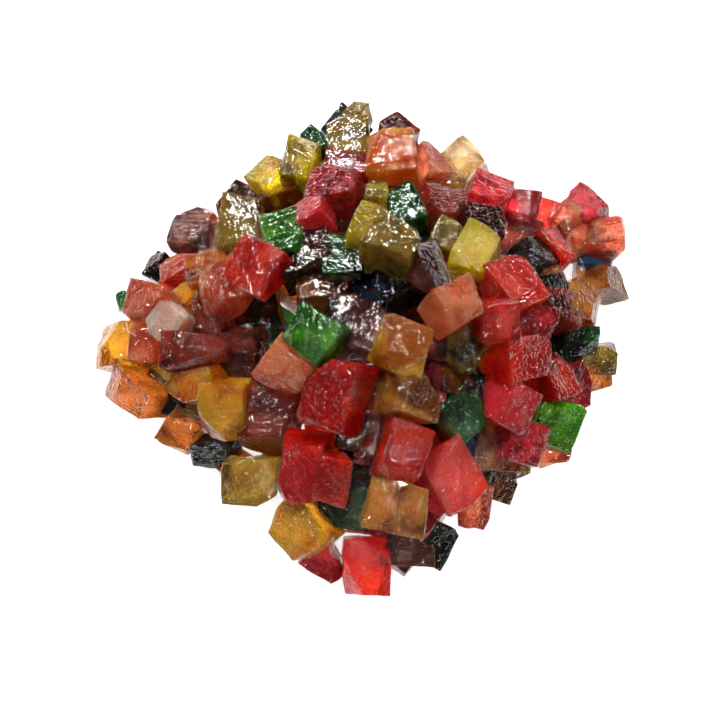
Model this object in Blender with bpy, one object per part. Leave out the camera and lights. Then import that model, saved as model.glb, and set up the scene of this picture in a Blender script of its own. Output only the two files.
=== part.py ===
"""A heap of candied fruit, cut into dice and tipped out as it lies: one solid, out to its uneven outline.

The heap is a low core with two courses of dice on it. The lower course is laid by a rule. The upper one is
the dice that show, each at the place where it is seen from one viewpoint, in front of the heap and above it.
A die is let down along its line of sight until it beds into what lies below.
Lengths are in millimetres until a mesh is made. +Z is up, and the viewpoint is on the -Y side.
"""

import itertools
import math
import random
from collections import namedtuple

import bmesh
import bpy
import numpy as np
from mathutils import Matrix

MM = 0.001
SEED = 12

# the heap: a square with round corners, seen corner on
HALF_SIDE = 42.4
SQUARENESS = 5.6
EDGE_HEIGHT = 4.5
CROWN_HEIGHT = 24.0
CROWN_POWER = 1.6

# the core under the dice, as shares of the heap
CORE_REACH = 0.66
CORE_HEIGHT = 16.0
CORE_SEGMENTS = 20
CORE_RINGS = 10

# the lower course
UNDER_SPACING = 10.2
UNDER_REACH = (0.42, 0.86)
UNDER_SIZE = (7.6, 9.6)
UNDER_LEAN = 16.0
UNDER_LIFT = 2.5
UNDER_KINDS = ("brown", "maroon", "black", "rust", "pine", "crimson", "scarlet", "olive", "coral", "amber")

# how a die is cut
THICKNESS_SHARE = (0.84, 1.0)
THICKNESS_LIMITS = (4.5, 9.2)
UNEVEN = 0.13
SKEW = 0.14
SLICES = 3
SLICE_CHANCE = 0.55
SLICE_DEPTH = (0.56, 0.8)

# how a die beds in
REACH = 75.0
HEIGHT_CELL = 1.0
PICTURE_CELL = 6
SAMPLES_ACROSS = 13
LOWERING_STEP = 0.25
BEDDED_SHARE = 0.12
LOOSE_SHARE = 0.05
PUSHES = 60
FLOOR_GAP = 0.1
SINK = 0.5
RISE = 2.0
DROP = 2.5
LOWER_BY = 5.5
SLOPE_SHARE = 0.7
LEAN_SPREAD = 9.0

# the viewpoint, and the picture plane that the dice that show were measured on, in pixels
EYE = np.array((-1.0, -62.7, 160.1))
EYE_PITCH = math.radians(70.4)
PICTURE_MIDDLE = 360
PICTURE_FOCAL = 839

ShownDie = namedtuple("ShownDie", "kind picture_x picture_y length width turn taper lean", defaults=(0.0, None))
LaidDie = namedtuple("LaidDie", "kind centre axes corners slices shown")

# the dice that show: kind, place in the picture, length and width, the turn of the length from the picture's
# right, how much narrower its far end is, and its lean to the viewer and to the right
LOWER_DICE = (
    ShownDie("olive", 355, 124, 7.0, 5.6, 60, 0.3),
    ShownDie("maroon", 396, 136, 7.2, 7.2, 45),
    ShownDie("pine", 315, 145, 7.0, 5.0, -40, 0.4),
    ShownDie("olive", 347, 143, 8.6, 8.6, 0, 0.1, (0, 0)),
    ShownDie("coral", 428, 168, 8.5, 6.5, 100, 0.4),
    ShownDie("maroon", 443, 210, 9.0, 8.0, 10),
    ShownDie("maroon", 476, 226, 9.0, 7.5, 0),
    ShownDie("black", 532, 260, 8.0, 8.0, 20),
    ShownDie("maroon", 555, 308, 8.0, 8.0, 70),
    ShownDie("pine", 550, 290, 7.0, 6.0, 20),
    ShownDie("coral", 551, 277, 5.0, 4.5, 20),
    ShownDie("pine", 577, 342, 8.5, 5.5, 12),
    ShownDie("coral", 617, 284, 8.0, 5.0, 85),
    ShownDie("caramel", 603, 286, 6.8, 6.6, 80),
    ShownDie("ink", 594, 264, 9.0, 5.0, 5),
    ShownDie("caramel", 573, 304, 9.0, 8.5, 84),
    ShownDie("olive", 593, 358, 9.0, 5.5, 5),
    ShownDie("rust", 589, 377, 7.0, 5.5, 20),
    ShownDie("crimson", 572, 385, 9.0, 5.5, -58),
    ShownDie("coral", 548, 452, 7.0, 5.0, 20),
    ShownDie("black", 470, 400, 9.0, 7.0, 80),
    ShownDie("brown", 449, 380, 7.0, 7.0, 0),
    ShownDie("crimson", 433, 378, 8.0, 5.0, 85),
    ShownDie("olive", 477, 337, 8.0, 7.0, 10),
    ShownDie("olive", 458, 350, 9.0, 7.5, -35),
    ShownDie("maroon", 418, 306, 9.0, 6.0, -10),
    ShownDie("maroon", 436, 338, 9.0, 5.0, 80),
    ShownDie("black", 350, 280, 10.0, 8.0, 0),
    ShownDie("black", 392, 284, 9.0, 8.0, 30),
    ShownDie("ink", 372, 292, 5.0, 4.5, 30),
    ShownDie("maroon", 398, 267, 7.0, 6.0, 10),
    ShownDie("brown", 322, 293, 10.0, 7.0, 5),
    ShownDie("black", 260, 318, 9.0, 8.0, 20),
    ShownDie("maroon", 245, 350, 9.0, 7.0, 80),
    ShownDie("rust", 212, 320, 8.0, 7.0, 60),
    ShownDie("amber", 190, 297, 5.6, 4.8, 10),
    ShownDie("black", 148, 269, 6.0, 5.0, 60),
    ShownDie("maroon", 160, 268, 4.5, 4.0, 0),
    ShownDie("coral", 183, 272, 7.0, 5.5, 10),
    ShownDie("rust", 210, 272, 8.0, 7.0, 20),
    ShownDie("pine", 130, 304, 4.5, 4.0, 70),
    ShownDie("plum", 192, 218, 7.2, 4.8, 20),
    ShownDie("plum", 195, 240, 8.4, 7.6, -5),
    ShownDie("brown", 282, 196, 8.5, 5.0, 5),
    ShownDie("brown", 340, 222, 7.5, 6.5, 0),
    ShownDie("pine", 345, 258, 8.0, 7.0, 90),
    ShownDie("brown", 307, 260, 9.0, 9.0, 10),
    ShownDie("brown", 342, 318, 8.0, 6.0, 80),
    ShownDie("plum", 368, 331, 9.0, 7.8, 80),
    ShownDie("maroon", 362, 360, 8.0, 6.0, 0),
    ShownDie("maroon", 368, 395, 8.0, 7.5, 80),
    ShownDie("brown", 353, 430, 8.0, 6.0, 80),
    ShownDie("maroon", 370, 440, 8.5, 5.5, 80),
    ShownDie("black", 365, 470, 8.0, 6.0, 0),
    ShownDie("pine", 455, 412, 8.8, 8.8, 45),
    ShownDie("ink", 470, 447, 7.0, 4.0, -35),
    ShownDie("black", 494, 447, 5.5, 4.8, 60),
    ShownDie("brown", 494, 478, 7.5, 6.0, 80),
    ShownDie("olive", 512, 467, 6.0, 4.5, 20),
    ShownDie("plum", 404, 575, 6.0, 5.5, -40),
    ShownDie("black", 432, 542, 8.0, 5.5, 70),
    ShownDie("brown", 408, 545, 8.6, 6.5, 0),
    ShownDie("pine", 347, 505, 8.5, 8.5, 80),
    ShownDie("crimson", 325, 558, 8.0, 6.5, -50, 0.6),
    ShownDie("rust", 226, 490, 6.8, 6.0, -40),
    ShownDie("black", 215, 450, 8.5, 5.0, 0),
    ShownDie("rust", 187, 429, 8.0, 7.0, 50),
    ShownDie("black", 180, 403, 6.0, 4.8, -20),
    ShownDie("maroon", 272, 420, 12.0, 8.5, 65),
)
UPPER_DICE = (
    ShownDie("lime", 301, 164, 10.4, 6.6, 80),
    ShownDie("yellow", 274, 181, 7.2, 6.8, 50),
    ShownDie("crimson", 347, 168, 8.6, 6.2, 0),
    ShownDie("crimson", 335, 193, 9.6, 8.0, -8),
    ShownDie("honey", 464, 163, 8.0, 7.5, 45),
    ShownDie("orange", 392, 158, 9.6, 9.0, 0, 0.0, (0, 0)),
    ShownDie("crimson", 486, 199, 8.2, 7.8, -15),
    ShownDie("green", 282, 239, 9.4, 6.8, -74),
    ShownDie("crimson", 312, 219, 7.0, 6.2, 20),
    ShownDie("scarlet", 541, 218, 7.0, 6.0, 60),
    ShownDie("crimson", 517, 213, 7.4, 7.0, -8, 0.0, (0, 0)),
    ShownDie("scarlet", 552, 250, 7.8, 6.6, -60, 0.5),
    ShownDie("coral", 566, 222, 7.5, 6.0, 45),
    ShownDie("crimson", 584, 210, 7.8, 6.8, -48),
    ShownDie("coral", 578, 238, 8.0, 6.8, 30),
    ShownDie("coral", 605, 240, 8.8, 7.4, 84),
    ShownDie("pine", 400, 216, 8.0, 7.6, 20),
    ShownDie("lime", 375, 200, 5.2, 5.0, 0),
    ShownDie("lime", 366, 228, 9.5, 5.5, 75, 0.3),
    ShownDie("olive", 392, 249, 9.2, 7.8, -30, 0.3),
    ShownDie("lime", 448, 240, 6.6, 6.0, -30),
    ShownDie("yellow", 478, 254, 10.4, 7.0, 64),
    ShownDie("plum", 428, 268, 8.8, 5.8, -68),
    ShownDie("scarlet", 511, 289, 10.2, 8.0, -60),
    ShownDie("coral", 453, 306, 7.8, 7.4, 35),
    ShownDie("scarlet", 495, 319, 7.4, 6.8, 10),
    ShownDie("crimson", 533, 323, 8.0, 5.6, 0),
    ShownDie("scarlet", 517, 358, 10.0, 7.8, 20),
    ShownDie("scarlet", 551, 379, 7.5, 6.6, -60),
    ShownDie("crimson", 505, 402, 8.6, 8.2, -15),
    ShownDie("crimson", 517, 443, 8.0, 7.6, -5),
    ShownDie("green", 549, 423, 9.4, 8.2, 80),
    ShownDie("olive", 237, 226, 10.0, 7.6, 85),
    ShownDie("coral", 228, 292, 9.5, 7.5, 25),
    ShownDie("scarlet", 260, 272, 9.2, 8.6, -32),
    ShownDie("coral", 156, 305, 9.6, 7.4, -12, 0.3),
    ShownDie("blush", 173, 324, 7.0, 7.0, 50),
    ShownDie("maroon", 199, 351, 12.4, 7.8, -6, 0.45),
    ShownDie("coral", 147, 342, 8.0, 5.0, 85),
    ShownDie("amber", 122, 347, 9.4, 8.0, 90),
    ShownDie("rust", 141, 391, 10.5, 8.4, -40, 0.3),
    ShownDie("orange", 199, 385, 9.5, 6.2, 5),
    ShownDie("amber", 228, 409, 11.0, 8.4, 80),
    ShownDie("green", 316, 336, 9.0, 8.0, -38),
    ShownDie("coral", 287, 367, 8.6, 8.0, -45),
    ShownDie("amber", 401, 344, 9.2, 8.8, -15),
    ShownDie("scarlet", 337, 396, 11.6, 8.4, 65),
    ShownDie("caramel", 405, 397, 8.2, 8.0, -5),
    ShownDie("scarlet", 402, 452, 10.2, 8.2, 75),
    ShownDie("scarlet", 453, 480, 11.6, 8.2, -62),
    ShownDie("coral", 474, 506, 8.0, 5.0, -80, 0.4),
    ShownDie("scarlet", 335, 474, 8.6, 5.6, 75),
    ShownDie("scarlet", 305, 467, 10.2, 7.6, 85),
    ShownDie("caramel", 395, 505, 11.0, 8.4, -12),
    ShownDie("olive", 252, 478, 9.6, 8.4, -8),
    ShownDie("scarlet", 367, 567, 9.8, 8.0, 90),
    ShownDie("amber", 306, 527, 9.6, 8.8, -52),
)


def unit(vector):
    return vector / np.linalg.norm(vector)


def plan_radius(x, y):
    """1 on the outline of the heap's plan, less inside it."""
    u = (x + y) / math.sqrt(2)
    v = (x - y) / math.sqrt(2)
    return (np.abs(u) ** SQUARENESS + np.abs(v) ** SQUARENESS) ** (1 / SQUARENESS) / HALF_SIDE


def skin_height(x, y):
    """The height that the middles of the upper dice have on the whole."""
    inward = 1 - np.minimum(plan_radius(x, y), 1) ** CROWN_POWER
    return EDGE_HEIGHT + CROWN_HEIGHT * inward


def view_axes():
    """The viewpoint's forward and up."""
    forward = np.array((0, math.cos(EYE_PITCH), -math.sin(EYE_PITCH)))
    up = np.array((0, math.sin(EYE_PITCH), math.cos(EYE_PITCH)))
    return forward, up


def sight_line(picture_x, picture_y):
    """The way from the viewpoint to what shows at a place in the picture."""
    forward, up = view_axes()
    right = np.array((1, 0, 0))
    across = (picture_x - PICTURE_MIDDLE) / PICTURE_FOCAL
    rise = (PICTURE_MIDDLE - picture_y) / PICTURE_FOCAL
    return unit(forward + right * across + up * rise)


def where_seen(line):
    """The point of the heap's general surface that a line of sight meets: the middle of an upper die."""
    travel = -EYE[2] / line[2]
    for _ in range(12):
        x, y, _ = EYE + line * travel
        travel = (skin_height(x, y) - EYE[2]) / line[2]
    return EYE + line * travel


def turned(turn, lean_front, lean_right):
    """The axes, as columns, of a die turned on the spot and then leaned over, in degrees."""
    turn, front, side = (math.radians(angle) for angle in (turn, lean_front, lean_right))
    spin = np.array(((math.cos(turn), -math.sin(turn), 0), (math.sin(turn), math.cos(turn), 0), (0, 0, 1)))
    to_front = np.array(((1, 0, 0), (0, math.cos(front), -math.sin(front)), (0, math.sin(front), math.cos(front))))
    to_right = np.array(((math.cos(side), 0, math.sin(side)), (0, 1, 0), (-math.sin(side), 0, math.cos(side))))
    return to_right @ to_front @ spin


def slope_lean(x, y):
    """The lean to the front and to the right of a die that lies along the heap's slope, in degrees."""
    step = 1.0
    run_x = (skin_height(x + step, y) - skin_height(x - step, y)) / (2 * step)
    run_y = (skin_height(x, y + step) - skin_height(x, y - step)) / (2 * step)
    return math.degrees(math.atan(run_y)) * SLOPE_SHARE, -math.degrees(math.atan(run_x)) * SLOPE_SHARE


def cut_die(rng, length, width, taper, slice_chance):
    """The eight corners of an unevenly cut die, in its own axes, and the planes that slice corners off it."""
    thickness = min(length, width) * rng.uniform(*THICKNESS_SHARE)
    thickness = min(max(thickness, THICKNESS_LIMITS[0]), THICKNESS_LIMITS[1])
    half = np.array((length, width, thickness)) / 2
    skew = np.array((rng.uniform(-SKEW, SKEW), rng.uniform(-SKEW, SKEW), 0))
    corners = []
    for signs in itertools.product((-1, 1), repeat=3):
        corner = half * signs * [1 + rng.uniform(-UNEVEN, UNEVEN) for _ in range(3)]
        if signs[0] > 0:
            corner[1] *= 1 - taper
        corners.append(corner + skew * corner[2])
    slices = []
    for _ in range(SLICES):
        signs = np.array([rng.choice((-1, 1)) for _ in range(3)])
        normal = unit(signs * [rng.uniform(0.3, 1.0) for _ in range(3)])
        depth = rng.uniform(*SLICE_DEPTH)
        if rng.random() < slice_chance:
            slices.append((normal, depth * float(np.dot(normal, half * signs))))
    return np.array(corners), slices


def die_surface(corners, slices, steps):
    """Points all over a die's surface: a grid on each side of a cube, fitted between the corners."""
    grid = []
    for side in (-1, 1):
        for a, b in itertools.product(steps, repeat=2):
            grid += [(side, a, b), (a, side, b), (a, b, side)]
    grid = np.array(grid)
    points = np.zeros_like(grid)
    for signs, corner in zip(itertools.product((-1, 1), repeat=3), corners):
        weight = np.prod((1 + grid * signs) / 2, axis=1)
        points += weight[:, None] * corner
    for normal, offset in slices:
        beyond = np.maximum(points @ normal - offset, 0)
        points -= beyond[:, None] * normal
    return points


def from_above(points):
    """Cells seen from above, and how high the points are."""
    return (points[:, :2] + REACH) / HEIGHT_CELL, points[:, 2]


def from_viewpoint(points):
    """Cells of the picture, and how near the viewpoint the points are."""
    offset = points - EYE
    forward, up = view_axes()
    depth = offset @ forward
    picture_x = PICTURE_MIDDLE + PICTURE_FOCAL * offset[:, 0] / depth
    picture_y = PICTURE_MIDDLE - PICTURE_FOCAL * (offset @ up) / depth
    return np.stack((picture_x, picture_y), axis=1) / PICTURE_CELL, -depth


class Field:
    """What lies outermost in each cell, as seen one way."""

    def __init__(self, seen, across):
        self.seen = seen
        self.outermost = np.full((across, across), -1e6)

    def place(self, points):
        spots, levels = self.seen(points)
        return tuple(np.clip(spots.astype(int), 0, len(self.outermost) - 1).T), levels

    def cover(self, points):
        cells, levels = self.place(points)
        np.maximum.at(self.outermost, cells, levels)

    def bedded(self, points):
        """The share of these points that lies under what is there."""
        cells, levels = self.place(points)
        return float(np.mean(levels < self.outermost[cells]))


def let_down(field, points, start, line, furthest):
    """The centre of a die that is moved along line until it beds in, meets the floor or has gone furthest."""
    centre = start.copy()
    lowest = points[:, 2].min()
    gone = 0.0
    while gone < furthest and centre[2] + lowest > FLOOR_GAP and field.bedded(points + centre) < BEDDED_SHARE:
        centre += line * LOWERING_STEP
        gone += LOWERING_STEP
    if centre[2] + lowest > FLOOR_GAP + SINK:
        centre += line * SINK
    centre[2] = max(centre[2], FLOOR_GAP - lowest)
    return centre


def push_in(field, points, centre):
    """Slides a die along the floor to the heap until it beds in."""
    inward = -unit(centre * (1, 1, 0))
    for _ in range(PUSHES):
        if field.bedded(points + centre) >= LOOSE_SHARE:
            break
        centre = centre + inward * LOWERING_STEP
    return centre


def core_height(x, y):
    inward = 1 - (plan_radius(x, y) / CORE_REACH) ** CROWN_POWER
    return CORE_HEIGHT * inward


def lay_under_dice(rng):
    """The lower course: dice on a loose triangular grid, set a little into the core or on the floor."""
    laid = []
    row_spacing = UNDER_SPACING * math.sqrt(3) / 2
    rows = int(REACH / row_spacing)
    for row, column in itertools.product(range(-rows, rows + 1), repeat=2):
        x = (column + 0.5 * (row % 2)) * UNDER_SPACING + rng.uniform(-1.5, 1.5)
        y = row * row_spacing + rng.uniform(-1.5, 1.5)
        length, width = rng.uniform(*UNDER_SIZE), rng.uniform(*UNDER_SIZE)
        kind = rng.choice(UNDER_KINDS)
        axes = turned(rng.uniform(0, 90), rng.uniform(-UNDER_LEAN, UNDER_LEAN), rng.uniform(-UNDER_LEAN, UNDER_LEAN))
        corners, slices = cut_die(rng, length, width, 0, 0)
        if not UNDER_REACH[0] < plan_radius(x, y) < UNDER_REACH[1]:
            continue
        lowest = (die_surface(corners, slices, SAMPLE_STEPS) @ axes.T)[:, 2].min()
        height = max(core_height(x, y) + UNDER_LIFT, FLOOR_GAP - lowest)
        laid.append(LaidDie(kind, np.array((x, y, height)), axes, corners, slices, False))
    return laid


def lay_shown_dice(rng, heights, picture):
    """The upper course, each die let down along its line of sight, near the heap's general surface."""
    laid = []
    depths = [LOWER_BY] * len(LOWER_DICE) + [0.0] * len(UPPER_DICE)
    for die, depth in zip(LOWER_DICE + UPPER_DICE, depths):
        line = sight_line(die.picture_x, die.picture_y)
        seen = where_seen(line)
        front, side = slope_lean(seen[0], seen[1])
        lean = (front + rng.gauss(0, LEAN_SPREAD), side + rng.gauss(0, LEAN_SPREAD))
        axes = turned(die.turn, *(die.lean or lean))
        corners, slices = cut_die(rng, die.length, die.width, die.taper, SLICE_CHANCE)
        surface = die_surface(corners, slices, SAMPLE_STEPS)
        start = seen + line * (depth - RISE)
        centre = let_down(picture, surface @ axes.T, start, line, RISE + DROP)
        if heights.bedded(surface @ axes.T + centre) < LOOSE_SHARE:
            axes = turned(die.turn, 0, 0)
            points = surface @ axes.T
            centre = let_down(picture, points, start, line, REACH)
            centre = push_in(heights, points, centre)
        for field in (heights, picture):
            field.cover(surface @ axes.T + centre)
        laid.append(LaidDie(die.kind, centre, axes, corners, slices, True))
    return laid


def lay_heap():
    """Every die of the heap, with the heap centred on the origin and standing at z = 0."""
    rng = random.Random(SEED)
    heights = Field(from_above, int(2 * REACH / HEIGHT_CELL))
    picture = Field(from_viewpoint, int(2 * PICTURE_MIDDLE / PICTURE_CELL))
    spots = np.arange(-REACH, REACH, HEIGHT_CELL / 2) + HEIGHT_CELL / 4
    x, y = (grid.ravel() for grid in np.meshgrid(spots, spots))
    ground = np.stack((x, y, np.maximum(core_height(x, y), 0)), axis=1)
    heights.cover(ground)
    picture.cover(ground[ground[:, 2] > 0])
    laid = lay_under_dice(rng)
    for die in laid:
        points = die_surface(die.corners, die.slices, SAMPLE_STEPS) @ die.axes.T + die.centre
        heights.cover(points)
        picture.cover(points)
    laid += lay_shown_dice(rng, heights, picture)
    surfaces = [die_surface(die.corners, die.slices, SAMPLE_STEPS) @ die.axes.T + die.centre for die in laid]
    ends = np.concatenate(surfaces)
    middle = (ends.min(axis=0) + ends.max(axis=0)) / 2 * (1, 1, 0)
    return [die._replace(centre=die.centre - middle) for die in laid]


def clear_scene():
    for thing in list(bpy.data.objects):
        bpy.data.objects.remove(thing)


def jelly_material():
    """The one finish of the fused heap: dark red fruit jelly."""
    material = bpy.data.materials.new("candied_fruit")
    material.use_nodes = True
    shader = material.node_tree.nodes["Principled BSDF"]
    shader.inputs["Base Color"].default_value = (0.42, 0.06, 0.03, 1)
    shader.inputs["Roughness"].default_value = 0.28
    return material


def add_object(name, shell, collection):
    """Makes the shell an object, with its faces turned outwards."""
    bmesh.ops.recalc_face_normals(shell, faces=shell.faces)
    if shell.calc_volume(signed=True) < 0:
        bmesh.ops.reverse_faces(shell, faces=shell.faces)
    mesh = bpy.data.meshes.new(name)
    shell.to_mesh(mesh)
    shell.free()
    thing = bpy.data.objects.new(name, mesh)
    collection.objects.link(thing)
    return thing


def make_core(collection):
    """A low dome on the heap's plan: a ball's upper half, drawn out to the core's reach and height."""
    shell = bmesh.new()
    bmesh.ops.create_uvsphere(shell, u_segments=CORE_SEGMENTS, v_segments=CORE_RINGS, radius=1.0)
    lower = [corner for corner in shell.verts if corner.co.z < -0.01]
    bmesh.ops.delete(shell, geom=lower, context="VERTS")
    bmesh.ops.contextual_create(shell, geom=[edge for edge in shell.edges if edge.is_boundary])
    for corner in shell.verts:
        x, y = corner.co.x, corner.co.y
        reach = math.hypot(x, y)
        if reach > 0:
            outline = 1 / plan_radius(x / reach, y / reach)
            corner.co.x *= outline * CORE_REACH
            corner.co.y *= outline * CORE_REACH
            corner.co.z = max(core_height(corner.co.x, corner.co.y), 0)
        else:
            corner.co.z = CORE_HEIGHT
    return add_object("fruit_heap", shell, collection)


def make_die(name, die, collection):
    """A cube drawn out to the die's corners, with its corners sliced."""
    shell = bmesh.new()
    bmesh.ops.create_cube(shell, size=2.0)
    places = dict(zip(itertools.product((-1, 1), repeat=3), die.corners))
    for corner in shell.verts:
        corner.co = places[tuple(round(along) for along in corner.co)]
    bmesh.ops.triangulate(shell, faces=shell.faces)
    for normal, offset in die.slices:
        everything = shell.verts[:] + shell.edges[:] + shell.faces[:]
        cut = bmesh.ops.bisect_plane(
            shell, geom=everything, plane_co=normal * offset, plane_no=normal, clear_outer=True
        )
        rim = [part for part in cut["geom_cut"] if isinstance(part, bmesh.types.BMEdge)]
        if rim:
            bmesh.ops.contextual_create(shell, geom=rim)
    for corner in shell.verts:
        corner.co = die.axes @ np.array(corner.co) + die.centre
    return add_object(name, shell, collection)


def fuse(base, collection):
    """Joins the collection's objects to base, and removes them."""
    union = base.modifiers.new("fuse", "BOOLEAN")
    union.operation = "UNION"
    union.operand_type = "COLLECTION"
    union.collection = collection
    union.solver = "MANIFOLD"
    graph = bpy.context.evaluated_depsgraph_get()
    fused = bpy.data.meshes.new_from_object(base.evaluated_get(graph))
    base.modifiers.remove(union)
    base.data = fused
    for thing in list(collection.objects):
        bpy.data.objects.remove(thing)
    bpy.data.collections.remove(collection)


def keep_outer_shell(thing):
    """Fills sealed hollows and drops loose scraps: only the shell with the most corners is kept."""
    shell = bmesh.new()
    shell.from_mesh(thing.data)
    left = set(shell.verts)
    groups = []
    while left:
        group = set()
        edge = [left.pop()]
        while edge:
            corner = edge.pop()
            group.add(corner)
            near = {link.other_vert(corner) for link in corner.link_edges} & left
            left -= near
            edge += near
        groups.append(group)
    groups.sort(key=len)
    for group in groups[:-1]:
        bmesh.ops.delete(shell, geom=list(group), context="VERTS")
    shell.to_mesh(thing.data)
    shell.free()


SAMPLE_STEPS = np.linspace(-1, 1, SAMPLES_ACROSS)


def main():
    clear_scene()
    heap = bpy.data.collections.new("candied_fruit")
    loose = bpy.data.collections.new("dice")
    for collection in (heap, loose):
        bpy.context.scene.collection.children.link(collection)
    whole = make_core(heap)
    for number, die in enumerate(lay_heap()):
        make_die(f"die_{number}", die, loose)
    fuse(whole, loose)
    keep_outer_shell(whole)
    whole.data.transform(Matrix.Scale(MM, 4))
    whole.data.materials.clear()
    whole.data.materials.append(jelly_material())


main()
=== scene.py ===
"""A heap of candied fruit, cut into dice and tipped out as it lies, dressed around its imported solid.

The dice lie as they do in the solid: a lower course laid by a rule, and on it the dice that show, each
let down along its line of sight until it beds in. Here every die is a mesh of its own form, with rounded
edges and uneven sides, and the dice of one colour make one piece. More dice lie flat on the floor in the
place of the solid's core. Lengths are in millimetres until a mesh is made, and those of the lights and the
floor are in metres. +Z is up, and the viewpoint is on the -Y side.
"""

import itertools
import math
import random
from collections import namedtuple

import bmesh
import bpy
import numpy as np
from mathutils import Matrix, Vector, noise


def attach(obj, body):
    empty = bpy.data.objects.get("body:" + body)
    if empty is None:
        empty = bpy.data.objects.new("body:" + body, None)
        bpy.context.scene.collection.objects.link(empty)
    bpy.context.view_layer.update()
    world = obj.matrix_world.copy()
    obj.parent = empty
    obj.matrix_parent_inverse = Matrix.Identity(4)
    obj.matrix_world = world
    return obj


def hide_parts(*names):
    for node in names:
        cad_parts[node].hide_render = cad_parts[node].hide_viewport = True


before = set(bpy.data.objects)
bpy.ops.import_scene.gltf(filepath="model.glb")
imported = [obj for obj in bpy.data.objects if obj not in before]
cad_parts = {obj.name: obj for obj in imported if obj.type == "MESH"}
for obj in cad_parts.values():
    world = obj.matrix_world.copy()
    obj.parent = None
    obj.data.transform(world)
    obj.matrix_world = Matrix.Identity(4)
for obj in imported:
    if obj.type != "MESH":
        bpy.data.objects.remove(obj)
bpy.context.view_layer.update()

MM = 0.001
SEED = 12

# the heap: a square with round corners, seen corner on
HALF_SIDE = 42.4
SQUARENESS = 5.6
EDGE_HEIGHT = 4.5
CROWN_HEIGHT = 24.0
CROWN_POWER = 1.6

# the solid's core, which the lower course was laid on: its reach as a share of the heap's, and its height
CORE_REACH = 0.66
CORE_HEIGHT = 16.0

# the lower course
UNDER_SPACING = 10.2
UNDER_REACH = (0.42, 0.86)
UNDER_SIZE = (7.6, 9.6)
UNDER_LEAN = 16.0
UNDER_LIFT = 2.5
UNDER_STRAY = 1.5
UNDER_KINDS = ("brown", "maroon", "black", "rust", "pine", "crimson", "scarlet", "olive", "coral", "amber")

# how a die is cut
THICKNESS_SHARE = (0.84, 1.0)
THICKNESS_LIMITS = (4.5, 9.2)
UNEVEN = 0.13
SKEW = 0.14
SLICES = 3
SLICE_CHANCE = 0.55
SLICE_SLANT = (0.3, 1.0)
SLICE_DEPTH = (0.56, 0.8)

# how a die beds in: REACH is half the ground that is kept track of, and the shares are of a die's surface
REACH = 75.0
HEIGHT_CELL = 1.0
PICTURE_CELL = 6
NOTHING_THERE = -1e6
SAMPLES_ACROSS = 13
LOWERING_STEP = 0.25
BEDDED_SHARE = 0.12
LOOSE_SHARE = 0.05
PUSHES = 60
FLOOR_GAP = 0.1
SINK = 0.5
RISE = 2.0
DROP = 2.5
LOWER_BY = 5.5
SLOPE_SHARE = 0.7
LEAN_SPREAD = 9.0

# the viewpoint, and the picture plane that the dice that show were measured on, in pixels
EYE = np.array((-1.0, -62.7, 160.1))
EYE_PITCH = math.radians(70.4)
PICTURE_MIDDLE = 360
PICTURE_FOCAL = 839
SIGHT_ROUNDS = 12

ShownDie = namedtuple(
    "ShownDie", "kind picture_x picture_y length width turn taper lean", defaults=(0.0, None)
)
LaidDie = namedtuple("LaidDie", "kind centre axes corners slices shown")

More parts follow.
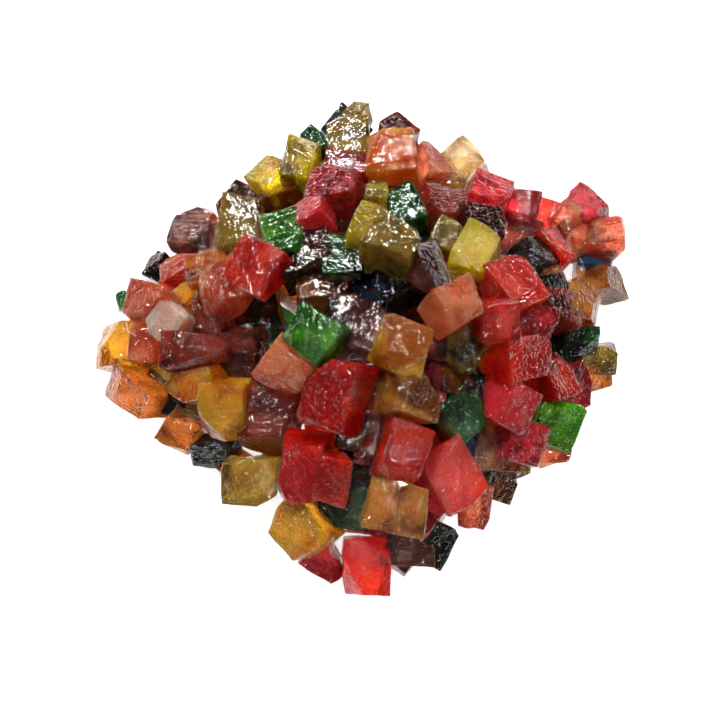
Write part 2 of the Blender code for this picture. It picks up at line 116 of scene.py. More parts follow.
# the dice that show: kind, place in the picture, length and width, the turn of the length from the picture's
# right, how much narrower its far end is, and its lean to the viewer and to the right
LOWER_DICE = (
    ShownDie("olive", 355, 124, 7.0, 5.6, 60, 0.3),
    ShownDie("maroon", 396, 136, 7.2, 7.2, 45),
    ShownDie("pine", 315, 145, 7.0, 5.0, -40, 0.4),
    ShownDie("olive", 347, 143, 8.6, 8.6, 0, 0.1, (0, 0)),
    ShownDie("coral", 428, 168, 8.5, 6.5, 100, 0.4),
    ShownDie("maroon", 443, 210, 9.0, 8.0, 10),
    ShownDie("maroon", 476, 226, 9.0, 7.5, 0),
    # painted shade: a black die put in a dark gap between the dice, where there is only shade
    ShownDie("black", 532, 260, 8.0, 8.0, 20),
    ShownDie("maroon", 555, 308, 8.0, 8.0, 70),
    ShownDie("pine", 550, 290, 7.0, 6.0, 20),
    ShownDie("coral", 551, 277, 5.0, 4.5, 20),
    ShownDie("pine", 577, 342, 8.5, 5.5, 12),
    ShownDie("coral", 617, 284, 8.0, 5.0, 85),
    ShownDie("caramel", 603, 286, 6.8, 6.6, 80),
    # painted reflection: a dark die coloured blue to stand for blue sky mirrored in it
    ShownDie("ink", 594, 264, 9.0, 5.0, 5),
    ShownDie("caramel", 573, 304, 9.0, 8.5, 84),
    ShownDie("olive", 593, 358, 9.0, 5.5, 5),
    ShownDie("rust", 589, 377, 7.0, 5.5, 20),
    ShownDie("crimson", 572, 385, 9.0, 5.5, -58),
    ShownDie("coral", 548, 452, 7.0, 5.0, 20),
    ShownDie("black", 470, 400, 9.0, 7.0, 80),
    ShownDie("brown", 449, 380, 7.0, 7.0, 0),
    ShownDie("crimson", 433, 378, 8.0, 5.0, 85),
    ShownDie("olive", 477, 337, 8.0, 7.0, 10),
    ShownDie("olive", 458, 350, 9.0, 7.5, -35),
    ShownDie("maroon", 418, 306, 9.0, 6.0, -10),
    ShownDie("maroon", 436, 338, 9.0, 5.0, 80),
    ShownDie("black", 350, 280, 10.0, 8.0, 0),
    ShownDie("black", 392, 284, 9.0, 8.0, 30),
    # painted reflection: a dark die coloured blue to stand for blue sky mirrored in it
    ShownDie("ink", 372, 292, 5.0, 4.5, 30),
    ShownDie("maroon", 398, 267, 7.0, 6.0, 10),
    ShownDie("brown", 322, 293, 10.0, 7.0, 5),
    ShownDie("black", 260, 318, 9.0, 8.0, 20),
    ShownDie("maroon", 245, 350, 9.0, 7.0, 80),
    ShownDie("rust", 212, 320, 8.0, 7.0, 60),
    ShownDie("amber", 190, 297, 5.6, 4.8, 10),
    ShownDie("black", 148, 269, 6.0, 5.0, 60),
    ShownDie("maroon", 160, 268, 4.5, 4.0, 0),
    ShownDie("coral", 183, 272, 7.0, 5.5, 10),
    ShownDie("rust", 210, 272, 8.0, 7.0, 20),
    ShownDie("pine", 130, 304, 4.5, 4.0, 70),
    ShownDie("plum", 192, 218, 7.2, 4.8, 20),
    ShownDie("plum", 195, 240, 8.4, 7.6, -5),
    ShownDie("brown", 282, 196, 8.5, 5.0, 5),
    ShownDie("brown", 340, 222, 7.5, 6.5, 0),
    ShownDie("pine", 345, 258, 8.0, 7.0, 90),
    ShownDie("brown", 307, 260, 9.0, 9.0, 10),
    ShownDie("brown", 342, 318, 8.0, 6.0, 80),
    ShownDie("plum", 368, 331, 9.0, 7.8, 80),
    ShownDie("maroon", 362, 360, 8.0, 6.0, 0),
    ShownDie("maroon", 368, 395, 8.0, 7.5, 80),
    ShownDie("brown", 353, 430, 8.0, 6.0, 80),
    ShownDie("maroon", 370, 440, 8.5, 5.5, 80),
    # painted shade: a black die put in a dark gap between the dice, where there is only shade
    ShownDie("black", 365, 470, 8.0, 6.0, 0),
    ShownDie("pine", 455, 412, 8.8, 8.8, 45),
    # painted reflection: a dark die coloured blue to stand for blue sky mirrored in it
    ShownDie("ink", 470, 447, 7.0, 4.0, -35),
    ShownDie("black", 494, 447, 5.5, 4.8, 60),
    ShownDie("brown", 494, 478, 7.5, 6.0, 80),
    ShownDie("olive", 512, 467, 6.0, 4.5, 20),
    ShownDie("plum", 404, 575, 6.0, 5.5, -40),
    ShownDie("black", 432, 542, 8.0, 5.5, 70),
    ShownDie("brown", 408, 545, 8.6, 6.5, 0),
    ShownDie("pine", 347, 505, 8.5, 8.5, 80),
    ShownDie("crimson", 325, 558, 8.0, 6.5, -50, 0.6),
    ShownDie("rust", 226, 490, 6.8, 6.0, -40),
    ShownDie("black", 215, 450, 8.5, 5.0, 0),
    ShownDie("rust", 187, 429, 8.0, 7.0, 50),
    ShownDie("black", 180, 403, 6.0, 4.8, -20),
    ShownDie("maroon", 272, 420, 12.0, 8.5, 65),
)
UPPER_DICE = (
    ShownDie("lime", 301, 164, 10.4, 6.6, 80),
    ShownDie("yellow", 274, 181, 7.2, 6.8, 50),
    ShownDie("crimson", 347, 168, 8.6, 6.2, 0),
    ShownDie("crimson", 335, 193, 9.6, 8.0, -8),
    ShownDie("honey", 464, 163, 8.0, 7.5, 45),
    ShownDie("orange", 392, 158, 9.6, 9.0, 0, 0.0, (0, 0)),
    ShownDie("crimson", 486, 199, 8.2, 7.8, -15),
    ShownDie("green", 282, 239, 9.4, 6.8, -74),
    ShownDie("crimson", 312, 219, 7.0, 6.2, 20),
    ShownDie("scarlet", 541, 218, 7.0, 6.0, 60),
    ShownDie("crimson", 517, 213, 7.4, 7.0, -8, 0.0, (0, 0)),
    ShownDie("scarlet", 552, 250, 7.8, 6.6, -60, 0.5),
    ShownDie("coral", 566, 222, 7.5, 6.0, 45),
    ShownDie("crimson", 584, 210, 7.8, 6.8, -48),
    ShownDie("coral", 578, 238, 8.0, 6.8, 30),
    ShownDie("coral", 605, 240, 8.8, 7.4, 84),
    ShownDie("pine", 400, 216, 8.0, 7.6, 20),
    ShownDie("lime", 375, 200, 5.2, 5.0, 0),
    ShownDie("lime", 366, 228, 9.5, 5.5, 75, 0.3),
    ShownDie("olive", 392, 249, 9.2, 7.8, -30, 0.3),
    ShownDie("lime", 448, 240, 6.6, 6.0, -30),
    ShownDie("yellow", 478, 254, 10.4, 7.0, 64),
    ShownDie("plum", 428, 268, 8.8, 5.8, -68),
    ShownDie("scarlet", 511, 289, 10.2, 8.0, -60),
    ShownDie("coral", 453, 306, 7.8, 7.4, 35),
    ShownDie("scarlet", 495, 319, 7.4, 6.8, 10),
    ShownDie("crimson", 533, 323, 8.0, 5.6, 0),
    ShownDie("scarlet", 517, 358, 10.0, 7.8, 20),
    ShownDie("scarlet", 551, 379, 7.5, 6.6, -60),
    ShownDie("crimson", 505, 402, 8.6, 8.2, -15),
    ShownDie("crimson", 517, 443, 8.0, 7.6, -5),
    ShownDie("green", 549, 423, 9.4, 8.2, 80),
    ShownDie("olive", 237, 226, 10.0, 7.6, 85),
    ShownDie("coral", 228, 292, 9.5, 7.5, 25),
    ShownDie("scarlet", 260, 272, 9.2, 8.6, -32),
    ShownDie("coral", 156, 305, 9.6, 7.4, -12, 0.3),
    ShownDie("blush", 173, 324, 7.0, 7.0, 50),
    ShownDie("maroon", 199, 351, 12.4, 7.8, -6, 0.45),
    ShownDie("coral", 147, 342, 8.0, 5.0, 85),
    ShownDie("amber", 122, 347, 9.4, 8.0, 90),
    ShownDie("rust", 141, 391, 10.5, 8.4, -40, 0.3),
    ShownDie("orange", 199, 385, 9.5, 6.2, 5),
    ShownDie("amber", 228, 409, 11.0, 8.4, 80),
    ShownDie("green", 316, 336, 9.0, 8.0, -38),
    ShownDie("coral", 287, 367, 8.6, 8.0, -45),
    ShownDie("amber", 401, 344, 9.2, 8.8, -15),
    ShownDie("scarlet", 337, 396, 11.6, 8.4, 65),
    ShownDie("caramel", 405, 397, 8.2, 8.0, -5),
    ShownDie("scarlet", 402, 452, 10.2, 8.2, 75),
    ShownDie("scarlet", 453, 480, 11.6, 8.2, -62),
    ShownDie("coral", 474, 506, 8.0, 5.0, -80, 0.4),
    ShownDie("scarlet", 335, 474, 8.6, 5.6, 75),
    ShownDie("scarlet", 305, 467, 10.2, 7.6, 85),
    ShownDie("caramel", 395, 505, 11.0, 8.4, -12),
    ShownDie("olive", 252, 478, 9.6, 8.4, -8),
    ShownDie("scarlet", 367, 567, 9.8, 8.0, 90),
    ShownDie("amber", 306, 527, 9.6, 8.8, -52),
)


def unit(vector):
    return vector / np.linalg.norm(vector)


def plan_radius(x, y):
    """1 on the outline of the heap's plan, less inside it."""
    u = (x + y) / math.sqrt(2)
    v = (x - y) / math.sqrt(2)
    return (np.abs(u) ** SQUARENESS + np.abs(v) ** SQUARENESS) ** (1 / SQUARENESS) / HALF_SIDE


def skin_height(x, y):
    """The height that the middles of the upper dice have on the whole."""
    inward = 1 - np.minimum(plan_radius(x, y), 1) ** CROWN_POWER
    return EDGE_HEIGHT + CROWN_HEIGHT * inward


def view_axes():
    """The viewpoint's forward and up."""
    forward = np.array((0, math.cos(EYE_PITCH), -math.sin(EYE_PITCH)))
    up = np.array((0, math.sin(EYE_PITCH), math.cos(EYE_PITCH)))
    return forward, up


def sight_line(picture_x, picture_y):
    """The way from the viewpoint to what shows at a place in the picture."""
    forward, up = view_axes()
    right = np.array((1, 0, 0))
    across = (picture_x - PICTURE_MIDDLE) / PICTURE_FOCAL
    rise = (PICTURE_MIDDLE - picture_y) / PICTURE_FOCAL
    return unit(forward + right * across + up * rise)


def where_seen(line):
    """The point of the heap's general surface that a line of sight meets: the middle of an upper die."""
    travel = -EYE[2] / line[2]
    for _ in range(SIGHT_ROUNDS):
        x, y, _ = EYE + line * travel
        travel = (skin_height(x, y) - EYE[2]) / line[2]
    return EYE + line * travel


def turned(turn, lean_front, lean_right):
    """The axes, as columns, of a die turned on the spot and then leaned over, in degrees."""
    turn, front, side = (math.radians(angle) for angle in (turn, lean_front, lean_right))
    spin = np.array((
        (math.cos(turn), -math.sin(turn), 0),
        (math.sin(turn), math.cos(turn), 0),
        (0, 0, 1),
    ))
    to_front = np.array((
        (1, 0, 0),
        (0, math.cos(front), -math.sin(front)),
        (0, math.sin(front), math.cos(front)),
    ))
    to_right = np.array((
        (math.cos(side), 0, math.sin(side)),
        (0, 1, 0),
        (-math.sin(side), 0, math.cos(side)),
    ))
    return to_right @ to_front @ spin


def slope_lean(x, y):
    """The lean to the front and to the right of a die that lies along the heap's slope, in degrees."""
    step = 1.0
    run_x = (skin_height(x + step, y) - skin_height(x - step, y)) / (2 * step)
    run_y = (skin_height(x, y + step) - skin_height(x, y - step)) / (2 * step)
    return math.degrees(math.atan(run_y)) * SLOPE_SHARE, -math.degrees(math.atan(run_x)) * SLOPE_SHARE


def cut_die(rng, length, width, taper, slice_chance):
    """The eight corners of an unevenly cut die, in its own axes, and the planes that slice some off."""
    thickness = min(length, width) * rng.uniform(*THICKNESS_SHARE)
    thickness = min(max(thickness, THICKNESS_LIMITS[0]), THICKNESS_LIMITS[1])
    half = np.array((length, width, thickness)) / 2
    skew = np.array((rng.uniform(-SKEW, SKEW), rng.uniform(-SKEW, SKEW), 0))
    corners = []
    for signs in itertools.product((-1, 1), repeat=3):
        corner = half * signs * [1 + rng.uniform(-UNEVEN, UNEVEN) for _ in range(3)]
        if signs[0] > 0:
            corner[1] *= 1 - taper
        corners.append(corner + skew * corner[2])
    slices = []
    for _ in range(SLICES):
        signs = np.array([rng.choice((-1, 1)) for _ in range(3)])
        normal = unit(signs * [rng.uniform(*SLICE_SLANT) for _ in range(3)])
        depth = rng.uniform(*SLICE_DEPTH)
        if rng.random() < slice_chance:
            slices.append((normal, depth * float(np.dot(normal, half * signs))))
    return np.array(corners), slices


def die_surface(corners, slices, steps):
    """Points all over a die's surface: a grid on each side of a cube, fitted between the corners."""
    grid = []
    for side in (-1, 1):
        for a, b in itertools.product(steps, repeat=2):
            grid += [(side, a, b), (a, side, b), (a, b, side)]
    grid = np.array(grid)
    points = np.zeros_like(grid)
    for signs, corner in zip(itertools.product((-1, 1), repeat=3), corners):
        weight = np.prod((1 + grid * signs) / 2, axis=1)
        points += weight[:, None] * corner
    for normal, offset in slices:
        beyond = np.maximum(points @ normal - offset, 0)
        points -= beyond[:, None] * normal
    return points


def from_above(points):
    """Cells seen from above, and how high the points are."""
    return (points[:, :2] + REACH) / HEIGHT_CELL, points[:, 2]


def from_viewpoint(points):
    """Cells of the picture, and how near the viewpoint the points are."""
    offset = points - EYE
    forward, up = view_axes()
    depth = offset @ forward
    picture_x = PICTURE_MIDDLE + PICTURE_FOCAL * offset[:, 0] / depth
    picture_y = PICTURE_MIDDLE - PICTURE_FOCAL * (offset @ up) / depth
    return np.stack((picture_x, picture_y), axis=1) / PICTURE_CELL, -depth


class Field:
    """What lies outermost in each cell, as seen one way."""

    def __init__(self, seen, across):
        self.seen = seen
        self.outermost = np.full((across, across), NOTHING_THERE)

    def place(self, points):
        spots, levels = self.seen(points)
        return tuple(np.clip(spots.astype(int), 0, len(self.outermost) - 1).T), levels

    def cover(self, points):
        cells, levels = self.place(points)
        np.maximum.at(self.outermost, cells, levels)

    def bedded(self, points):
        """The share of these points that lies under what is there."""
        cells, levels = self.place(points)
        return float(np.mean(levels < self.outermost[cells]))


def let_down(field, points, start, line, furthest):
    """The centre of a die moved along line until it beds in, meets the floor or has gone furthest."""
    centre = start.copy()
    lowest = points[:, 2].min()
    gone = 0.0
    while gone < furthest and centre[2] + lowest > FLOOR_GAP:
        if field.bedded(points + centre) >= BEDDED_SHARE:
            break
        centre += line * LOWERING_STEP
        gone += LOWERING_STEP
    if centre[2] + lowest > FLOOR_GAP + SINK:
        centre += line * SINK
    centre[2] = max(centre[2], FLOOR_GAP - lowest)
    return centre


def push_in(field, points, centre):
    """Slides a die along the floor to the heap until it beds in."""
    inward = -unit(centre * (1, 1, 0))
    for _ in range(PUSHES):
        if field.bedded(points + centre) >= LOOSE_SHARE:
            break
        centre = centre + inward * LOWERING_STEP
    return centre


def core_height(x, y):
    inward = 1 - (plan_radius(x, y) / CORE_REACH) ** CROWN_POWER
    return CORE_HEIGHT * inward


def lay_under_dice(rng):
    """The lower course: dice on a loose triangular grid, set a little into the core or on the floor."""
    laid = []
    row_spacing = UNDER_SPACING * math.sqrt(3) / 2
    rows = int(REACH / row_spacing)
    for row, column in itertools.product(range(-rows, rows + 1), repeat=2):
        x = (column + 0.5 * (row % 2)) * UNDER_SPACING + rng.uniform(-UNDER_STRAY, UNDER_STRAY)
        y = row * row_spacing + rng.uniform(-UNDER_STRAY, UNDER_STRAY)
        length, width = rng.uniform(*UNDER_SIZE), rng.uniform(*UNDER_SIZE)
        kind = rng.choice(UNDER_KINDS)
        axes = turned(rng.uniform(0, 90), *[rng.uniform(-UNDER_LEAN, UNDER_LEAN) for _ in range(2)])
        corners, slices = cut_die(rng, length, width, 0, 0)
        if not UNDER_REACH[0] < plan_radius(x, y) < UNDER_REACH[1]:
            continue
        lowest = (die_surface(corners, slices, SAMPLE_STEPS) @ axes.T)[:, 2].min()
        height = max(core_height(x, y) + UNDER_LIFT, FLOOR_GAP - lowest)
        laid.append(LaidDie(kind, np.array((x, y, height)), axes, corners, slices, False))
    return laid


def lay_shown_dice(rng, heights, picture):
    """The upper course, each die let down along its line of sight, near the heap's general surface."""
    laid = []
    depths = [LOWER_BY] * len(LOWER_DICE) + [0.0] * len(UPPER_DICE)
    for die, depth in zip(LOWER_DICE + UPPER_DICE, depths):
        line = sight_line(die.picture_x, die.picture_y)
        seen = where_seen(line)
        front, side = slope_lean(seen[0], seen[1])
        lean = (front + rng.gauss(0, LEAN_SPREAD), side + rng.gauss(0, LEAN_SPREAD))
        axes = turned(die.turn, *(die.lean or lean))
        corners, slices = cut_die(rng, die.length, die.width, die.taper, SLICE_CHANCE)
        surface = die_surface(corners, slices, SAMPLE_STEPS)
        start = seen + line * (depth - RISE)
        centre = let_down(picture, surface @ axes.T, start, line, RISE + DROP)
        if heights.bedded(surface @ axes.T + centre) < LOOSE_SHARE:
            axes = turned(die.turn, 0, 0)
            points = surface @ axes.T
            centre = let_down(picture, points, start, line, REACH)
            centre = push_in(heights, points, centre)
        for field in (heights, picture):
            field.cover(surface @ axes.T + centre)
        laid.append(LaidDie(die.kind, centre, axes, corners, slices, True))
    return laid


def lay_heap():
    """Every die of the heap, which is centred on the origin and stands at z = 0, and the viewpoint."""
    rng = random.Random(SEED)
    heights = Field(from_above, int(2 * REACH / HEIGHT_CELL))
    picture = Field(from_viewpoint, int(2 * PICTURE_MIDDLE / PICTURE_CELL))
    spots = np.arange(-REACH, REACH, HEIGHT_CELL / 2) + HEIGHT_CELL / 4
    x, y = (grid.ravel() for grid in np.meshgrid(spots, spots))
    ground = np.stack((x, y, np.maximum(core_height(x, y), 0)), axis=1)
    heights.cover(ground)
    picture.cover(ground[ground[:, 2] > 0])
    laid = lay_under_dice(rng)
    for die in laid:
        points = die_surface(die.corners, die.slices, SAMPLE_STEPS) @ die.axes.T + die.centre
        heights.cover(points)
        picture.cover(points)
    laid += lay_shown_dice(rng, heights, picture)
    surfaces = [die_surface(die.corners, die.slices, SAMPLE_STEPS) @ die.axes.T + die.centre for die in laid]
    ends = np.concatenate(surfaces)
    middle = (ends.min(axis=0) + ends.max(axis=0)) / 2 * (1, 1, 0)
    return [die._replace(centre=die.centre - middle) for die in laid], EYE - middle


SAMPLE_STEPS = np.linspace(-1, 1, SAMPLES_ACROSS)

# the dice that lie under the others, seen only from below
FLOOR_SPACING = 9.6
FLOOR_ROW_SHARE = 0.95
FLOOR_REACH = 0.7
FLOOR_STRAY = 0.8
FLOOR_LEAN = 5.0

# how the dice are formed
TRIMS = 5
TRIM_DEPTH = (0.74, 0.96)
EDGE_ROUND = 0.26
EDGE_STEPS = 2
EDGE_FULLNESS = 0.55
LONGEST_EDGE = 1.2
SPLITS = 4
HIDDEN_LONGEST_EDGE = 2.6
SWELL = 0.34
SWELL_SIZE = 4.2
RIPPLE = 0.1
RIPPLE_SIZE = 1.5
PATTERN_SPREAD = 50.0

# the colour where the jelly is deep and where it glows, and the depth in millimetres that red, green and
# blue light goes into it
Fruit = namedtuple("Fruit", "deep bright depth")
FRUITS = {
    "scarlet": Fruit((0.480, 0.006, 0.005), (0.950, 0.050, 0.020), (6.0, 0.8, 0.5)),
    "crimson": Fruit((0.280, 0.006, 0.012), (0.800, 0.045, 0.060), (5.0, 0.7, 0.9)),
    "coral": Fruit((0.560, 0.085, 0.035), (0.960, 0.300, 0.140), (5.5, 2.2, 1.2)),
    "orange": Fruit((0.700, 0.120, 0.006), (0.980, 0.340, 0.020), (6.0, 2.6, 0.5)),
    "amber": Fruit((0.480, 0.140, 0.006), (0.900, 0.440, 0.030), (6.0, 3.4, 0.5)),
    "honey": Fruit((0.220, 0.090, 0.015), (0.640, 0.400, 0.140), (4.5, 3.0, 1.2)),
    "yellow": Fruit((0.600, 0.340, 0.005), (0.950, 0.680, 0.025), (6.0, 4.6, 0.5)),
    "lime": Fruit((0.200, 0.130, 0.002), (0.540, 0.400, 0.010), (4.5, 4.0, 0.4)),
    "green": Fruit((0.018, 0.130, 0.004), (0.130, 0.420, 0.020), (0.9, 5.0, 0.7)),
    "pine": Fruit((0.003, 0.016, 0.005), (0.030, 0.130, 0.030), (0.5, 3.0, 0.8)),
    "olive": Fruit((0.050, 0.028, 0.004), (0.380, 0.240, 0.030), (4.0, 2.8, 0.6)),
    "caramel": Fruit((0.200, 0.060, 0.010), (0.680, 0.300, 0.060), (5.0, 2.4, 0.7)),
    "brown": Fruit((0.026, 0.007, 0.002), (0.230, 0.070, 0.012), (4.0, 1.6, 0.5)),
    "rust": Fruit((0.240, 0.036, 0.005), (0.700, 0.190, 0.018), (5.5, 1.8, 0.5)),
    "maroon": Fruit((0.060, 0.006, 0.004), (0.340, 0.040, 0.018), (4.2, 0.8, 0.4)),
    "plum": Fruit((0.080, 0.020, 0.016), (0.360, 0.130, 0.090), (3.4, 1.4, 1.1)),
    "blush": Fruit((0.820, 0.540, 0.410), (0.980, 0.820, 0.710), (5.0, 3.8, 3.0)),
    # painted reflection: dark jelly coloured deep blue to stand for blue sky mirrored on dark dice
    "ink": Fruit((0.004, 0.008, 0.018), (0.030, 0.080, 0.170), (0.7, 1.2, 2.2)),
    # near-black jelly; the two black dice put in dark gaps among the dice that show are painted shade
    "black": Fruit((0.004, 0.004, 0.003), (0.030, 0.032, 0.026), (0.9, 0.9, 0.8)),
}

# the patterns in the jelly: how close they are, in marks to the millimetre, and how fine, rough and warped
Pattern = namedtuple("Pattern", "scale detail roughness distortion", defaults=(2.0, 0.5, 0.0))
CLOUDS = Pattern(0.16, 3.0, 0.5, 0.5)
SPECKS = Pattern(3.0)
PATCHES = Pattern(0.35)
LINES = Pattern(0.7, 1.0)
DENTS = Pattern(1.1, 0.5, 0.5, 1.0)
GRAIN = Pattern(2.6, 3.0, 0.6)

# how the patterns make the jelly's look
TONE_SPREAD = 0.12
GLOW_RANGE = (0.4, 0.6)
SUGAR_RANGE = (0.3, 0.42)
SUGAR_SHARE = 0.02
SUGAR_COLOUR = (0.75, 0.68, 0.62)
PATCH_RANGE = (0.35, 0.65)
ROUGHNESS = (0.02, 0.08)
LINES_STRETCH = (0.3, 2.4, 2.4)
LINES_SHARE = 0.2
GRAIN_SHARE = 0.03
RELIEF_DEPTH = 0.42
SYRUP_IOR = 1.48
CLEARNESS = 0.85

# the camera: its sensor in millimetres, and the nearest that it sees in metres
SENSOR_WIDTH = 36.0
NEAREST_SEEN = 0.01

# the floor and the room
FLOOR_SIZE = 6.0
FLOOR_SHADE = 0.4
FLOOR_GLOW = 0.8
ROOM_GLOW = 0.12
BACKDROP_GLOW = 0.9

# the lights: place and size in metres, power in watts, colour, and whether it shows as a glint
Lamp = namedtuple("Lamp", "place size power colour glints")
LIGHTS = {
    "window": Lamp((-0.1, 0.46, 0.72), 0.12, 12.0, (1.0, 0.99, 0.98), True),
    "skylight": Lamp((-0.28, 0.12, 0.84), 0.06, 2.0, (0.95, 0.98, 1.0), True),
    "left_lamp": Lamp((-0.13, -0.24, 0.84), 0.04, 1.1, (1.0, 1.0, 1.0), True),
    "right_lamp": Lamp((0.22, -0.32, 0.78), 0.04, 1.1, (1.0, 1.0, 1.0), True),
    "sky": Lamp((-0.1, 0.5, 0.7), 0.3, 12.0, (1.0, 0.98, 0.95), False),
    "front": Lamp((0.3, -0.6, 0.45), 0.8, 4.4, (1.0, 0.97, 0.93), False),
}


def trim(shell, normal, offset):
    """Cuts off what lies beyond a plane."""
    everything = shell.verts[:] + shell.edges[:] + shell.faces[:]
    cut = bmesh.ops.bisect_plane(
        shell, geom=everything, plane_co=normal * offset, plane_no=normal, clear_outer=True
    )
    rim = [part for part in cut["geom_cut"] if isinstance(part, bmesh.types.BMEdge)]
    if rim:
        bmesh.ops.contextual_create(shell, geom=rim)


def form_die(die, rng):
    """A die's body in its own axes: a cube drawn out to its corners, sliced, trimmed and rounded."""
    shell = bmesh.new()
    bmesh.ops.create_cube(shell, size=2.0)
    places = dict(zip(itertools.product((-1, 1), repeat=3), die.corners))
    for corner in shell.verts:
        corner.co = places[tuple(round(along) for along in corner.co)]
    bmesh.ops.triangulate(shell, faces=shell.faces)
    for normal, offset in die.slices:
        trim(shell, normal, offset)
    if die.shown:
        for _ in range(TRIMS):
            normal = unit(np.array([rng.gauss(0, 1) for _ in range(3)]))
            reach = max(float(np.dot(normal, corner.co)) for corner in shell.verts)
            trim(shell, normal, reach * rng.uniform(*TRIM_DEPTH))
    bmesh.ops.recalc_face_normals(shell, faces=shell.faces)
    if shell.calc_volume(signed=True) < 0:
        bmesh.ops.reverse_faces(shell, faces=shell.faces)
    bmesh.ops.bevel(
        shell, geom=shell.edges[:], offset=EDGE_ROUND, segments=EDGE_STEPS, profile=EDGE_FULLNESS,
        affect="EDGES", clamp_overlap=True,
    )
    bmesh.ops.triangulate(shell, faces=shell.faces)
    longest_edge = LONGEST_EDGE if die.shown else HIDDEN_LONGEST_EDGE
    for _ in range(SPLITS):
        long_edges = [edge for edge in shell.edges if edge.calc_length() > longest_edge]
        if not long_edges:
            break
        bmesh.ops.subdivide_edges(shell, edges=long_edges, cuts=1)
        bmesh.ops.triangulate(shell, faces=shell.faces)
    return shell


def roughen(shell, offset):
    """Makes the sides swell and ripple a little, as cut jelly does."""
    shell.normal_update()
    pushes = []
    for corner in shell.verts:
        swell = noise.noise(corner.co / SWELL_SIZE + offset) * SWELL
        ripple = noise.noise(corner.co / RIPPLE_SIZE + offset) * RIPPLE
        pushes.append(corner.normal * (swell + ripple))
    for corner, push in zip(shell.verts, pushes):
        corner.co += push


def add_dice(whole, dice, rng):
    """Adds the bodies of these dice to a mesh, each with its own place in the patterns and its own tone."""
    for die in dice:
        shell = form_die(die, rng)
        offset = Vector([rng.uniform(-PATTERN_SPREAD, PATTERN_SPREAD) for _ in range(3)])
        tone = rng.random()
        roughen(shell, offset)
        pattern = shell.verts.layers.float_vector.new("cut_place")
        tones = shell.verts.layers.float.new("tone")
        for corner in shell.verts:
            corner[pattern] = corner.co + offset
            corner[tones] = tone
            corner.co = (die.axes @ np.array(corner.co) + die.centre) * MM
        single = bpy.data.meshes.new("die")
        shell.to_mesh(single)
        shell.free()
        whole.from_mesh(single)
        bpy.data.meshes.remove(single)


def make_piece(kind, dice, material, rng):
    """All dice of one colour as one piece."""
    whole = bmesh.new()
    whole.verts.layers.float_vector.new("cut_place")
    whole.verts.layers.float.new("tone")
    add_dice(whole, dice, rng)
    for face in whole.faces:
        face.smooth = True
    mesh = bpy.data.meshes.new(f"dice_{kind}")
    whole.to_mesh(mesh)
    whole.free()
    piece = bpy.data.objects.new(f"dice_{kind}", mesh)
    bpy.context.scene.collection.objects.link(piece)
    mesh.materials.append(material)
    return piece


def lay_floor_dice(rng):
    """Dice that lie flat under the heap, so that its underside is fruit too."""
    laid = []
    rows = int(REACH / FLOOR_SPACING)
    for row, column in itertools.product(range(-rows, rows + 1), repeat=2):
        x = (column + 0.5 * (row % 2)) * FLOOR_SPACING + rng.uniform(-FLOOR_STRAY, FLOOR_STRAY)
        y = row * FLOOR_SPACING * FLOOR_ROW_SHARE + rng.uniform(-FLOOR_STRAY, FLOOR_STRAY)
        length, width = rng.uniform(*UNDER_SIZE), rng.uniform(*UNDER_SIZE)
        kind = rng.choice(UNDER_KINDS)
        axes = turned(rng.uniform(0, 90), *[rng.uniform(-FLOOR_LEAN, FLOOR_LEAN) for _ in range(2)])
        corners, slices = cut_die(rng, length, width, 0, 0)
        if plan_radius(x, y) > FLOOR_REACH:
            continue
        lowest = (corners @ axes.T)[:, 2].min()
        laid.append(LaidDie(kind, np.array((x, y, FLOOR_GAP - lowest)), axes, corners, slices, False))
    return laid


def node(tree, kind, **values):
    """A new node with these settings."""
    made = tree.nodes.new(kind)
    for name, value in values.items():
        setattr(made, name, value)
    return made


def noise_over(tree, place, pattern, **values):
    """A noise that follows a pattern over a place."""
    made = node(tree, "ShaderNodeTexNoise", **values)
    made.inputs["Scale"].default_value = pattern.scale
    made.inputs["Detail"].default_value = pattern.detail
    made.inputs["Roughness"].default_value = pattern.roughness
    made.inputs["Distortion"].default_value = pattern.distortion
    tree.links.new(place, made.inputs["Vector"])
    return made.outputs["Fac"]


def ranged(tree, value, found, wanted):
    """A value brought from the range that it is found in to the one that is wanted."""
    made = node(tree, "ShaderNodeMapRange")
    made.inputs["From Min"].default_value, made.inputs["From Max"].default_value = found
    made.inputs["To Min"].default_value, made.inputs["To Max"].default_value = wanted
    tree.links.new(value, made.inputs["Value"])
    return made.outputs["Result"]


def combined(tree, operation, first, second, third=None):
    """Arithmetic on values that vary over the surface. The second may be a plain number."""
    made = node(tree, "ShaderNodeMath", operation=operation)
    tree.links.new(first, made.inputs[0])
    if isinstance(second, float):
        made.inputs[1].default_value = second
    else:
        tree.links.new(second, made.inputs[1])
    if third is not None:
        tree.links.new(third, made.inputs[2])
    return made.outputs["Value"]


def jelly_colour(tree, entry, place, tone, patches):
    """Clouds of deep and glowing jelly in the die's own tone, with thin pale specks of sugar."""
    clouds = noise_over(tree, place, CLOUDS)
    own_tone = ranged(tree, tone, (0.0, 1.0), (-TONE_SPREAD, TONE_SPREAD))
    glow = ranged(tree, combined(tree, "ADD", clouds, own_tone), GLOW_RANGE, (0.0, 1.0))
    shade = node(tree, "ShaderNodeMix", data_type="RGBA")
    tree.links.new(glow, shade.inputs["Factor"])
    tree.links.new(entry.outputs["Deep"], shade.inputs["A"])
    tree.links.new(entry.outputs["Bright"], shade.inputs["B"])

    specks = noise_over(tree, place, SPECKS)
    sugar = ranged(tree, combined(tree, "MULTIPLY", specks, patches), SUGAR_RANGE, (0.0, SUGAR_SHARE))
    sugared = node(tree, "ShaderNodeMix", data_type="RGBA")
    sugared.inputs["B"].default_value = (*SUGAR_COLOUR, 1)
    tree.links.new(sugar, sugared.inputs["Factor"])
    tree.links.new(shade.outputs["Result"], sugared.inputs["A"])
    return sugared.outputs["Result"]


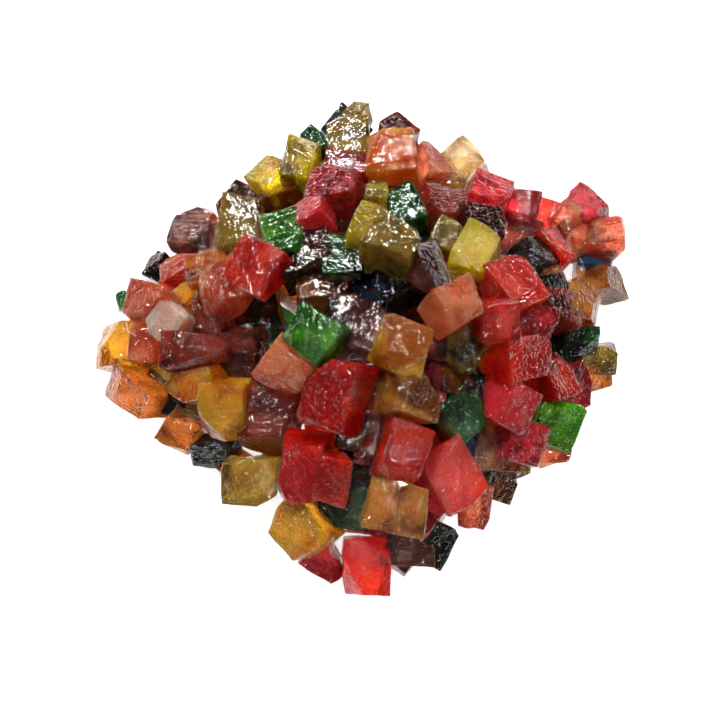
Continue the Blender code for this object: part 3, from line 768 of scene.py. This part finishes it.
def jelly_relief(tree, place):
    """Shallow dents, knife lines along the die, and a fine grain."""
    stretch = node(tree, "ShaderNodeMapping")
    stretch.inputs["Scale"].default_value = LINES_STRETCH
    tree.links.new(place, stretch.inputs["Vector"])
    lines = noise_over(tree, stretch.outputs["Vector"], LINES)
    dents = noise_over(tree, place, DENTS, noise_type="RIDGED_MULTIFRACTAL", normalize=True)
    grain = noise_over(tree, place, GRAIN)
    with_grain = combined(tree, "MULTIPLY_ADD", grain, GRAIN_SHARE, dents)
    return combined(tree, "MULTIPLY_ADD", lines, LINES_SHARE, with_grain)


def jelly_surface():
    """The look of cut jelly, shared by all the colours."""
    tree = bpy.data.node_groups.new("jelly_surface", "ShaderNodeTree")
    face = tree.interface
    face.new_socket("Deep", in_out="INPUT", socket_type="NodeSocketColor")
    face.new_socket("Bright", in_out="INPUT", socket_type="NodeSocketColor")
    face.new_socket("Base Color", in_out="OUTPUT", socket_type="NodeSocketColor")
    face.new_socket("Roughness", in_out="OUTPUT", socket_type="NodeSocketFloat")
    face.new_socket("Height", in_out="OUTPUT", socket_type="NodeSocketFloat")
    entry = node(tree, "NodeGroupInput")
    leave = node(tree, "NodeGroupOutput")
    place = node(tree, "ShaderNodeAttribute", attribute_name="cut_place").outputs["Vector"]
    tone = node(tree, "ShaderNodeAttribute", attribute_name="tone").outputs["Fac"]
    patches = noise_over(tree, place, PATCHES)
    tree.links.new(jelly_colour(tree, entry, place, tone, patches), leave.inputs["Base Color"])
    tree.links.new(ranged(tree, patches, PATCH_RANGE, ROUGHNESS), leave.inputs["Roughness"])
    tree.links.new(jelly_relief(tree, place), leave.inputs["Height"])
    return tree


def jelly_material(kind, fruit, surface):
    """One colour of candied fruit."""
    material = bpy.data.materials.new(f"jelly_{kind}")
    material.use_nodes = True
    tree = material.node_tree
    shader = tree.nodes["Principled BSDF"]
    look = node(tree, "ShaderNodeGroup", node_tree=surface)
    look.inputs["Deep"].default_value = (*fruit.deep, 1)
    look.inputs["Bright"].default_value = (*fruit.bright, 1)
    bump = node(tree, "ShaderNodeBump")
    bump.inputs["Strength"].default_value = 1.0
    bump.inputs["Distance"].default_value = RELIEF_DEPTH * MM
    tree.links.new(look.outputs["Base Color"], shader.inputs["Base Color"])
    tree.links.new(look.outputs["Roughness"], shader.inputs["Roughness"])
    tree.links.new(look.outputs["Height"], bump.inputs["Height"])
    tree.links.new(bump.outputs["Normal"], shader.inputs["Normal"])
    shader.inputs["IOR"].default_value = SYRUP_IOR
    shader.inputs["Subsurface Weight"].default_value = 1.0
    shader.inputs["Subsurface Radius"].default_value = fruit.depth
    shader.inputs["Subsurface Scale"].default_value = MM
    shader.inputs["Transmission Weight"].default_value = CLEARNESS
    return material


def make_floor():
    """The pale ground that the heap lies on."""
    bpy.ops.mesh.primitive_plane_add(size=FLOOR_SIZE)
    floor = bpy.context.object
    floor.name = "floor"
    material = bpy.data.materials.new("pale_ground")
    material.use_nodes = True
    shader = material.node_tree.nodes["Principled BSDF"]
    shader.inputs["Base Color"].default_value = (FLOOR_SHADE, FLOOR_SHADE, FLOOR_SHADE, 1)
    shader.inputs["Roughness"].default_value = 0.9
    shader.inputs["Specular IOR Level"].default_value = 0.2
    shader.inputs["Emission Color"].default_value = (1, 1, 1, 1)
    shader.inputs["Emission Strength"].default_value = FLOOR_GLOW
    floor.data.materials.append(material)


def add_light(name, lamp):
    """A square light that shines at the heap. Some show as glints, and the others only light it."""
    source = bpy.data.lights.new(name, "AREA")
    source.shape = "SQUARE"
    source.size = lamp.size
    source.energy = lamp.power
    source.color = lamp.colour
    light = bpy.data.objects.new(name, source)
    light.location = lamp.place
    light.rotation_euler = (-Vector(lamp.place)).to_track_quat("-Z", "Y").to_euler()
    light.visible_glossy = lamp.glints
    light.visible_transmission = lamp.glints
    bpy.context.scene.collection.objects.link(light)


def pale_background(tree, strength):
    background = node(tree, "ShaderNodeBackground")
    background.inputs["Color"].default_value = (1.0, 1.0, 1.0, 1)
    background.inputs["Strength"].default_value = strength
    return background.outputs["Background"]


def make_studio():
    """The lights, in a pale room that lights the heap only dimly."""
    world = bpy.data.worlds.new("pale_room")
    bpy.context.scene.world = world
    world.use_nodes = True
    tree = world.node_tree
    path = node(tree, "ShaderNodeLightPath")
    either = node(tree, "ShaderNodeMixShader")
    tree.links.new(path.outputs["Is Camera Ray"], either.inputs["Fac"])
    tree.links.new(pale_background(tree, ROOM_GLOW), either.inputs[1])
    tree.links.new(pale_background(tree, BACKDROP_GLOW), either.inputs[2])
    tree.links.new(either.outputs["Shader"], tree.nodes["World Output"].inputs["Surface"])
    for name, lamp in LIGHTS.items():
        add_light(name, lamp)
    bpy.context.scene.view_settings.view_transform = "Standard"


def make_camera(viewpoint):
    """The viewpoint that the dice were placed from."""
    lens = bpy.data.cameras.new("camera")
    lens.sensor_width = SENSOR_WIDTH
    lens.lens = PICTURE_FOCAL / (2 * PICTURE_MIDDLE) * lens.sensor_width
    lens.clip_start = NEAREST_SEEN
    camera = bpy.data.objects.new("camera", lens)
    camera.location = viewpoint * MM
    camera.rotation_euler = (math.pi / 2 - EYE_PITCH, 0, 0)
    bpy.context.scene.collection.objects.link(camera)
    bpy.context.scene.camera = camera


def main():
    dice, viewpoint = lay_heap()
    make_camera(viewpoint)
    make_studio()
    make_floor()
    rng = random.Random(SEED + 1)
    dice += lay_floor_dice(rng)
    surface = jelly_surface()
    for kind, fruit in FRUITS.items():
        own = [die for die in dice if die.kind == kind]
        piece = make_piece(kind, own, jelly_material(kind, fruit, surface), rng)
        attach(piece, "root")
        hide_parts("fruit_heap")


main()
